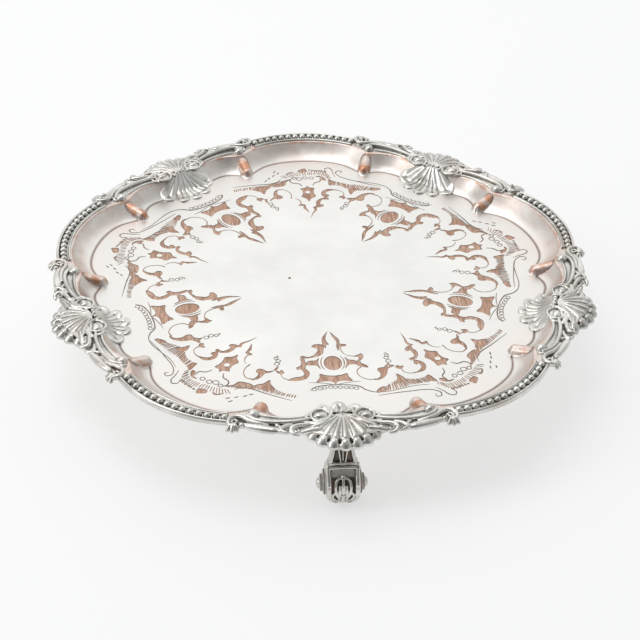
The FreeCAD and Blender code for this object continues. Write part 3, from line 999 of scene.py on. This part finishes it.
def shell_eye(lump, side):
    """A domed button in a rolled ring, with a fine groove between them."""
    lump.ball((side * 11, -132.3, RIM_Z + 0.2), 5.2, flat=0.24, stretch=(1.05, 0.86))
    lump.ball((side * 11.6, -132.7, RIM_Z + 1.1), 2.5, flat=0.6, stretch=(1.2, 0.8))
    lump.coil((side * 11, -132.4), 4.9, 0.85, -side * 1.02, 90 + side * 70, RIM_Z + 1.15, 0.1, 0.97)
    lump.tube(raised(on_side(side, [(16, -129.8), (18, -132.2), (17.6, -135.2)]), 0.5), [0.8, 1.1, 0.9])


def shell_mesh():
    """The front shell: a big fan over the edge, a small fan down the cavetto and a heart with two eyes."""
    lump = Lump()
    heart = [(0, -128.6), (7, -128.6), (13, -129.4), (17.4, -132), (18.4, -137), (14, -143), (6, -146),
            (0, -146.6)]
    heart += [(-x, y) for x, y in heart[-2:0:-1]]
    lump.slab(smooth_path(heart, closed=True, steps=4), RIM_Z - 1.3, RIM_Z + 0.1)
    outer_fan(lump)
    inner_fan(lump)
    for side in (-1, 1):
        shell_eye(lump, side)
        # the bar between eye and fan, the broad cheek beyond it, and the leaves that end the fan
        bar = [(4.8, -128.6), (5.8, -132.4), (8.2, -136.4), (11.6, -139.2, -0.2), (15.6, -141, -0.5)]
        cheek = [(8.6, -137.2), (12.6, -138.2), (18.4, -137.2)]
        leaf = [(12.6, -141.6), (17.4, -142.4, -0.4), (20.6, -142.6, -1.2)]
        lump.tube(raised(on_side(side, bar), 1.6), [0.7, 0.9, 0.95, 0.9, 0.7])
        lump.tube(raised(on_side(side, cheek), 0.4), [1.3, 1.9, 1.5], flat=0.8)
        lump.tube(raised(on_side(side, leaf), 0.2), [1.2, 1.5, 1.3])
        lump.ball((side * 5.4, -130.3, RIM_Z + 1.5), 1.1)
        lump.ball((side * 2.7, -130.4, RIM_Z + 1.7), 1.15)
    lump.ball((0, -130.5, RIM_Z + 1.9), 1.25)
    mesh = lump.fused("shell_metal", 0.24)
    mark_hollows(mesh)
    return mesh


# ---- feet ----

def on_roll(x, deg, proud):
    """A point on the roll's face, at an angle above the level and a height over its sunk field."""
    a = math.radians(deg)
    r = FOOT_ROLL_R - ROLL_SINK + proud
    return (x, -FOOT_R - r * math.cos(a), FOOT_ROLL_Z + r * math.sin(a))


def foot_mesh():
    """The front foot: a neck under the rim, a collar, and a strap rolled over with a boss each side."""
    lump = Lump()
    roll(lump)
    palmette(lump)
    strap(lump)
    neck(lump)
    mesh = lump.fused("foot_metal", 0.28)
    narrow_foot(mesh)
    mark_hollows(mesh)
    mark_foot_tarnish_and_shade(mesh)
    return mesh


def roll(lump):
    """The roll across the foot, its field sunk between raised rims, with a stepped boss at each side."""
    half = FOOT_W / 2
    profile = [(0.0, -1.1), (0.02, -0.2), (0.045, 0.0), (0.06, -0.1), (0.07, -0.7), (0.08, -0.1),
               (0.10, 0.0), (0.12, 0.0), (0.14, -0.3), (0.155, -1.4), (0.17, -ROLL_SINK)]
    profile += [(1 - share, rise) for share, rise in reversed(profile)]
    field = [(share, FOOT_ROLL_R + rise) for share, rise in profile]
    lump.drum(-FOOT_R, FOOT_ROLL_Z, -half, half, field, 72)
    boss = [(0.0, 8.2), (0.10, 8.2), (0.16, 7.4), (0.24, 6.9), (0.32, 6.9), (0.36, 6.2), (0.40, 4.8),
            (0.46, 4.6), (0.60, 4.6), (0.66, 3.8), (0.70, 2.8), (0.82, 2.6), (0.93, 2.0), (1.0, 0.9)]
    for side in (-1, 1):
        lump.drum(-FOOT_R, FOOT_ROLL_Z, side * (half - 0.6), side * (half + BOSS_OUT), boss)


def palmette(lump):
    """The leaf on the face of the roll: a stem, with three loops on each side."""
    lump.tube([on_roll(0, deg, 0.5) for deg in (56, 32, 6, -18, -40, -60)], [0.9, 0.8, 0.8, 1, 1.2, 1.1])
    for side in (-1, 1):
        for loop in (((0.5, 54), (3, 46), (3.9, 24), (3.2, -4), (0.9, -34)),
                     ((3.6, 10), (5.3, -4), (5.2, -22), (3.4, -42), (1, -62)),
                     ((1.8, 26), (1.7, 6), (2.2, -14), (2.8, -36))):
            lump.tube([on_roll(side * x, deg, 0.4) for x, deg in loop], [0.6, 0.8, 0.85, 0.8, 0.6])


def strap(lump):
    """The strap from the roll up to the collar, with raised edges, and the collar's two bars."""
    sides = (-8.0, 8.0)
    front = [[on_roll(x, 50, 0.0), (x * 0.97, -FOOT_R - 3.0, 23.6)] for x in sides]
    back = [[(x, -FOOT_R + 4.0, 12.0), (x * 0.97, -FOOT_R + 3.0, 23.6)] for x in sides]
    lump.block(np.array(front), np.array(back))
    for side in (-1, 1):
        x = side * 7.3
        edge = [on_roll(x, 30, 1.0), on_roll(x, 52, 0.9), (side * 7.5, -FOOT_R - 3.2, 23.0)]
        lump.tube(edge, [1.1, 1.1, 1.0])
    for x, out, z, size in ((8.0, 3.4, 23.0, 0.95), (7.6, 2.4, 24.9, 0.8)):
        y = -FOOT_R - out
        lump.tube([(-x, y, z - 0.5), (0, y - 0.4, z), (x, y, z - 0.5)], [size] * 3)


def neck(lump):
    """The tapering strap from the collar to the tray, with raised edges and ribs on its sunk panel."""
    verts = []
    for width, middle, z, depth in NECK:
        w = width / 2
        face, back = middle - depth / 2, middle + depth / 2
        ring = [(-w, face), (-w + 1.5, face), (-w + 2.0, face + 1.1), (-0.9, face + 1.1), (0, face + 0.3),
                (0.9, face + 1.1), (w - 2.0, face + 1.1), (w - 1.5, face), (w, face), (w, back), (-w, back)]
        verts += [(x, y, z) for x, y in ring]
    n = len(ring)
    faces = [tuple(reversed(range(n))), tuple(range((len(NECK) - 1) * n, len(NECK) * n))]
    lump.add(verts, faces + ring_quads(len(NECK), n))
    for side in (-1, 1):
        edge = [(side * (width / 2 - 0.6), middle - depth / 2 + 0.5, z) for width, middle, z, depth in NECK]
        rib = [(3.4, -139.9, 39.0), (2.2, -141.2, 32.0), (1.2, -142.6, 25.6)]
        lump.tube(edge, [0.9, 0.9, 0.8, 0.7, 0.7, 0.7])
        lump.tube(on_side(side, rib), [0.5, 0.5, 0.4])


def narrow_foot(mesh):
    """Narrows the roll to a tongue towards the ground, and keeps it from going under the ground."""
    co, _ = mesh_arrays(mesh)
    co[:, 0] *= np.clip(0.25 + 0.75 * co[:, 2] / 8.5, 0.25, 1.0)
    co[:, 2] = np.maximum(co[:, 2], 0.0)
    set_points(mesh, co)


def seated(mesh, deg):
    """The same foot with the top of its neck shaped to the underside of the sheet at its own place."""
    own = mesh.copy()
    co, _ = mesh_arrays(own)
    under = sheet_top(co[:, 0], co[:, 1], deg) - SHEET
    co[:, 2] = np.minimum(co[:, 2], under + 0.3)
    set_points(own, co)
    return own


def mark_foot_tarnish_and_shade(mesh):
    """Stores where the foot is dark with tarnish and painted shade: the roll's sunk field, the neck's panel
    and the bosses' grooves.
    """
    co, _ = mesh_arrays(mesh)
    x, y, z = np.abs(co[:, 0]), co[:, 1], co[:, 2]
    radius = np.hypot(y + FOOT_R, z - FOOT_ROLL_Z)
    field = np.clip((FOOT_ROLL_R - ROLL_SINK + 0.75 - radius) / 0.5, 0, 1)
    field *= (x < FOOT_W * 0.36) & (z < 23.2)
    width, axis, height, depth = np.array(NECK).T
    front = np.interp(z, height, axis - depth / 2)
    inside = (x < np.interp(z, height, width / 2) - 1.4) & (y < np.interp(z, height, axis)) & (z > 24.4)
    panel = np.clip((y - front - 0.45) / 0.4, 0, 1) * inside * np.interp(z, [33, 43], [1.0, 0.35])
    out = (x - FOOT_W / 2) / BOSS_OUT
    outer_groove = np.clip(1.4 - np.abs(out - 0.17) / 0.09, 0, 1)
    inner_groove = np.clip(1.4 - np.abs(out - 0.51) / 0.08, 0, 1)
    boss = np.maximum(outer_groove, inner_groove)
    set_values(mesh, "foot_tarnish_and_shade", np.maximum(np.maximum(field, panel), 0.9 * boss))


# ---- materials ----

class Nodes:
    """A material's node tree, with short ways to add and join nodes."""

    def __init__(self, name):
        self.material = bpy.data.materials.new(name)
        self.material.use_nodes = True
        self.tree = self.material.node_tree
        self.shader = self.tree.nodes["Principled BSDF"]

    def add(self, kind, inputs=None, **settings):
        node = self.tree.nodes.new(kind)
        for key, value in settings.items():
            setattr(node, key, value)
        for key, value in (inputs or {}).items():
            self.feed(node.inputs[key], value)
        return node

    def feed(self, socket, value):
        if isinstance(value, bpy.types.NodeSocket):
            self.tree.links.new(value, socket)
        else:
            socket.default_value = value

    def place(self):
        return self.add("ShaderNodeNewGeometry").outputs["Position"]

    def value(self, name):
        return self.add("ShaderNodeAttribute", attribute_name=name).outputs["Fac"]

    def noise(self, scale, detail=3.0, roughness=0.5, stretch=None, distortion=0.0):
        place = self.place()
        if stretch:
            place = self.add("ShaderNodeMapping", {"Vector": place, "Scale": stretch}).outputs["Vector"]
        node = self.add("ShaderNodeTexNoise", {"Vector": place, "Scale": scale, "Detail": detail,
                                               "Roughness": roughness, "Distortion": distortion})
        return node.outputs["Fac"]

    def ramp(self, value, low, high, out_low=0.0, out_high=1.0):
        node = self.add("ShaderNodeMapRange", {"Value": value, "From Min": low, "From Max": high,
                                               "To Min": out_low, "To Max": out_high})
        return node.outputs["Result"]

    def math(self, operation, a, b=0.0, clamp=False):
        node = self.add("ShaderNodeMath", {0: a, 1: b}, operation=operation, use_clamp=clamp)
        return node.outputs[0]

    def mix(self, share, a, b):
        node = self.add("ShaderNodeMix", data_type="RGBA")
        for key, value in (("Factor", share), ("A", a), ("B", b)):
            self.feed(next(s for s in node.inputs if s.name == key and s.enabled), value)
        return next(s for s in node.outputs if s.enabled)

    def bump(self, height, strength, distance):
        node = self.add("ShaderNodeBump", {"Height": height, "Strength": strength, "Distance": distance})
        return node.outputs["Normal"]

    def finish(self, **sockets):
        for key, value in sockets.items():
            self.feed(self.shader.inputs[key.replace("_", " ")], value)
        return self.material


def sheet_material():
    """Worn silver plate: pale, softly scratched, with copper showing through on raised edges."""
    n = Nodes("worn_plate")
    cloud = n.noise(28, 4, 0.6)
    fine = n.noise(420, 3, 0.6)
    scratch = n.noise(260, 2, 0.5, (1.0, 0.06, 1.0), 0.4)
    across = n.add("ShaderNodeVectorMath", {0: n.place(), 1: (1, 1, 0)}, operation="MULTIPLY").outputs[0]
    radius = n.add("ShaderNodeVectorMath", {0: across}, operation="LENGTH").outputs["Value"]
    outward = n.ramp(radius, 0.085, 0.13)
    pink = n.math("MULTIPLY", outward, n.ramp(cloud, 0.38, 0.68), True)
    silver = n.mix(n.ramp(cloud, 0.3, 0.7), (0.78, 0.765, 0.735, 1), (0.88, 0.865, 0.835, 1))
    plate = n.mix(n.math("MULTIPLY", pink, 0.42), silver, (0.78, 0.62, 0.54, 1))
    height = n.add("ShaderNodeSeparateXYZ", {0: n.place()}).outputs["Z"]
    wall = n.ramp(height, (WELL_Z + 0.6) * MM, (WELL_Z + 3.0) * MM)
    streak = n.ramp(n.noise(70, 4, 0.65, None, 1.2), 0.36, 0.66, 0.15, 0.75)
    plate = n.mix(n.math("MULTIPLY", wall, streak), plate, (0.66, 0.545, 0.48, 1))
    bare = n.math("MULTIPLY", n.value("copper"), n.ramp(n.noise(150, 4, 0.6), 0.46, 0.60, 0.12, 0.9), True)
    plate = n.mix(bare, plate, (0.60, 0.28, 0.16, 1))
    # painted shade in the sheet's creases, laid on as dark brown
    plate = n.mix(n.value("crevice_shade_and_tarnish"), plate, (0.16, 0.08, 0.05, 1))
    rough = n.math("ADD", n.ramp(cloud, 0.3, 0.7, 0.30, 0.42), n.ramp(fine, 0.35, 0.7, 0.0, 0.08))
    normal = n.bump(n.math("ADD", n.math("MULTIPLY", scratch, 0.6), fine), 0.12, 0.0002)
    return n.finish(Base_Color=plate, Roughness=rough, Normal=normal, Metallic=1.0)


def cut_copper_material():
    """Copper bared by the engraving, matt and uneven, with the graver's fine strokes."""
    n = Nodes("engraved_copper")
    cloud = n.noise(90, 4, 0.6)
    strokes = n.noise(900, 2, 0.5, (1.0, 0.12, 1.0))
    tone = n.mix(n.ramp(cloud, 0.35, 0.7), (0.50, 0.295, 0.20, 1), (0.70, 0.49, 0.385, 1))
    tone = n.mix(n.ramp(strokes, 0.45, 0.6, 0.0, 0.7), tone, (0.30, 0.165, 0.11, 1))
    rough = n.ramp(cloud, 0.3, 0.7, 0.42, 0.6)
    return n.finish(Base_Color=tone, Roughness=rough, Normal=n.bump(strokes, 0.3, 0.0002), Metallic=0.6)


def cut_line_material():
    """Fine engraved lines, dulled with grey and brown tarnish."""
    n = Nodes("engraved_line")
    cloud = n.noise(160, 3, 0.6)
    tone = n.mix(n.ramp(cloud, 0.4, 0.65), (0.22, 0.175, 0.145, 1), (0.44, 0.35, 0.29, 1))
    return n.finish(Base_Color=tone, Roughness=n.ramp(cloud, 0.3, 0.7, 0.4, 0.6), Metallic=0.8)


def cast_material():
    """Polished cast silver, dark in every recess with tarnish and painted shade."""
    n = Nodes("cast_silver")
    cloud = n.noise(60, 4, 0.6)
    fine = n.noise(700, 3, 0.6)
    silver = n.mix(n.ramp(cloud, 0.35, 0.7), (0.54, 0.525, 0.49, 1), (0.84, 0.825, 0.79, 1))
    warm = n.ramp(n.noise(35, 3, 0.5), 0.52, 0.75, 0.0, 0.45)
    silver = n.mix(warm, silver, (0.60, 0.50, 0.42, 1))
    # the hollows' darkness: partly tarnish, partly painted shade
    depth = n.math("ADD", n.value("crevice_shade_and_tarnish"), n.ramp(fine, 0.3, 0.7, -0.12, 0.12))
    dark = n.ramp(depth, 0.14, 0.78, 0.0, 0.95)
    tone = n.mix(dark, silver, (0.080, 0.068, 0.052, 1))
    # tarnish and painted shade in the foot's recesses, near black to dark brown
    patchy = n.ramp(n.noise(180, 3, 0.6), 0.42, 0.62)
    stain_and_shade = n.mix(patchy, (0.035, 0.033, 0.028, 1), (0.16, 0.085, 0.055, 1))
    tarnish_and_shade_share = n.math("MULTIPLY", n.value("foot_tarnish_and_shade"), n.ramp(cloud, 0.25, 0.5, 0.75, 0.97), True)
    tone = n.mix(tarnish_and_shade_share, tone, stain_and_shade)
    dark = n.math("MAXIMUM", dark, tarnish_and_shade_share)
    rough = n.math("ADD", n.ramp(cloud, 0.3, 0.7, 0.22, 0.34), n.math("MULTIPLY", dark, 0.25))
    metal = n.ramp(dark, 0.0, 1.0, 1.0, 0.6)
    return n.finish(Base_Color=tone, Roughness=rough, Normal=n.bump(fine, 0.1, 0.0002), Metallic=metal)


# ---- the stage ----

def floor_material():
    """A pale light table: it glows a little, so shadows on it stay soft."""
    n = Nodes("studio_floor")
    soft = n.noise(3.0, 2, 0.5)
    tone = n.mix(soft, (0.42, 0.42, 0.42, 1), (0.45, 0.45, 0.45, 1))
    return n.finish(Base_Color=tone, Roughness=n.ramp(soft, 0.3, 0.7, 0.85, 0.95),
                    Emission_Color=(1, 1, 1, 1), Emission_Strength=0.56)


def softbox(name, place, target, size, power):
    light = bpy.data.lights.new(name, "AREA")
    light.shape = "RECTANGLE"
    light.size, light.size_y = size
    light.energy = power
    lamp = add_object(name, light)
    way = Vector(target) - Vector(place)
    lamp.location = place
    lamp.rotation_euler = way.to_track_quat("-Z", "Y").to_euler()


def studio_world():
    """Soft white light from all round, but for a dark card over the front, which the silver mirrors."""
    world = bpy.data.worlds.new("studio")
    world.use_nodes = True
    tree = world.node_tree
    way = tree.nodes.new("ShaderNodeTexCoord").outputs["Generated"]
    facing = tree.nodes.new("ShaderNodeVectorMath")
    facing.operation = "DOT_PRODUCT"
    facing.inputs[1].default_value = Vector((0.1, -0.85, 0.5)).normalized()
    tree.links.new(way, facing.inputs[0])
    card = tree.nodes.new("ShaderNodeMapRange")
    for name, value in (("From Min", 0.62), ("From Max", 0.95), ("To Min", 0.62), ("To Max", 0.20)):
        card.inputs[name].default_value = value
    tree.links.new(facing.outputs["Value"], card.inputs["Value"])
    background = tree.nodes["Background"]
    background.inputs["Color"].default_value = (0.97, 0.99, 1.0, 1)
    tree.links.new(card.outputs["Result"], background.inputs["Strength"])
    return world


def stage():
    mesh = make_mesh("floor", [(-3, -3, 0), (3, -3, 0), (3, 3, 0), (-3, 3, 0)], [(0, 1, 2, 3)], False)
    floor = add_object("floor", mesh)
    mesh.materials.append(floor_material())
    bpy.context.scene.world = studio_world()
    bpy.context.scene.view_settings.view_transform = "Standard"
    middle = (0, 0, 0.03)
    softbox("back_softbox", (0.1, 1.6, 1.2), middle, (3.2, 2.0), 10)
    softbox("top_softbox", (-0.3, 0.2, 1.5), middle, (0.9, 0.9), 5)
    softbox("left_softbox", (-1.3, -0.2, 0.9), middle, (0.5, 1.0), 4)


def camera():
    """The camera stands at the photograph's own viewing angle."""
    data = bpy.data.cameras.new("view")
    data.lens = 97.3
    data.sensor_width = 36.0
    eye = Vector((-0.0766, -0.7967, 0.5795))
    forward = Vector((0.0783, 0.8112, -0.5794)).normalized()
    up = Vector((0.0281, 0.5792, 0.8147))
    right = forward.cross(up).normalized()
    up = right.cross(forward)
    view = add_object("view", data)
    axes = Matrix((right, up, -forward)).transposed().to_4x4()
    view.matrix_world = Matrix.Translation(eye) @ axes
    bpy.context.scene.camera = view


# ---- putting it together ----

def flipped(mesh, name):
    """The same mesh mirrored left to right."""
    copy = mesh.copy()
    copy.name = name
    copy.transform(Matrix.Scale(-1, 4, (1, 0, 0)))
    copy.flip_normals()
    return copy


def build():
    sheet = [sheet_material(), cut_copper_material(), cut_line_material()]
    cast = cast_material()
    place("salver_tray", tray_mesh(), sheet, "tray_body", "plated_sheet")
    strip, scroll, shell = bead_strip_mesh(), scroll_mesh(), shell_mesh()
    other_scroll = flipped(scroll, "scroll_metal_left")
    for k in range(SECTORS):
        n = k + 1
        deg = k * SECTOR_DEG
        place(f"beads_{n}", strip, [cast], f"bead_strip_{n}", "cast_silver", deg + SECTOR_DEG / 2)
        place(f"right_scroll_{n}", scroll, [cast], f"scroll_right_{n}", "cast_silver", deg)
        place(f"left_scroll_{n}", other_scroll, [cast], f"scroll_left_{n}", "cast_silver", deg)
        place(f"shell_{n}", shell, [cast], f"shell_mount_{n}", "cast_silver", deg)
    foot = foot_mesh()
    for i, deg in enumerate(FOOT_DEG):
        place(f"scroll_foot_{i + 1}", seated(foot, deg), [cast], f"foot_{i + 1}", "cast_silver", deg)


build()
stage()
camera()
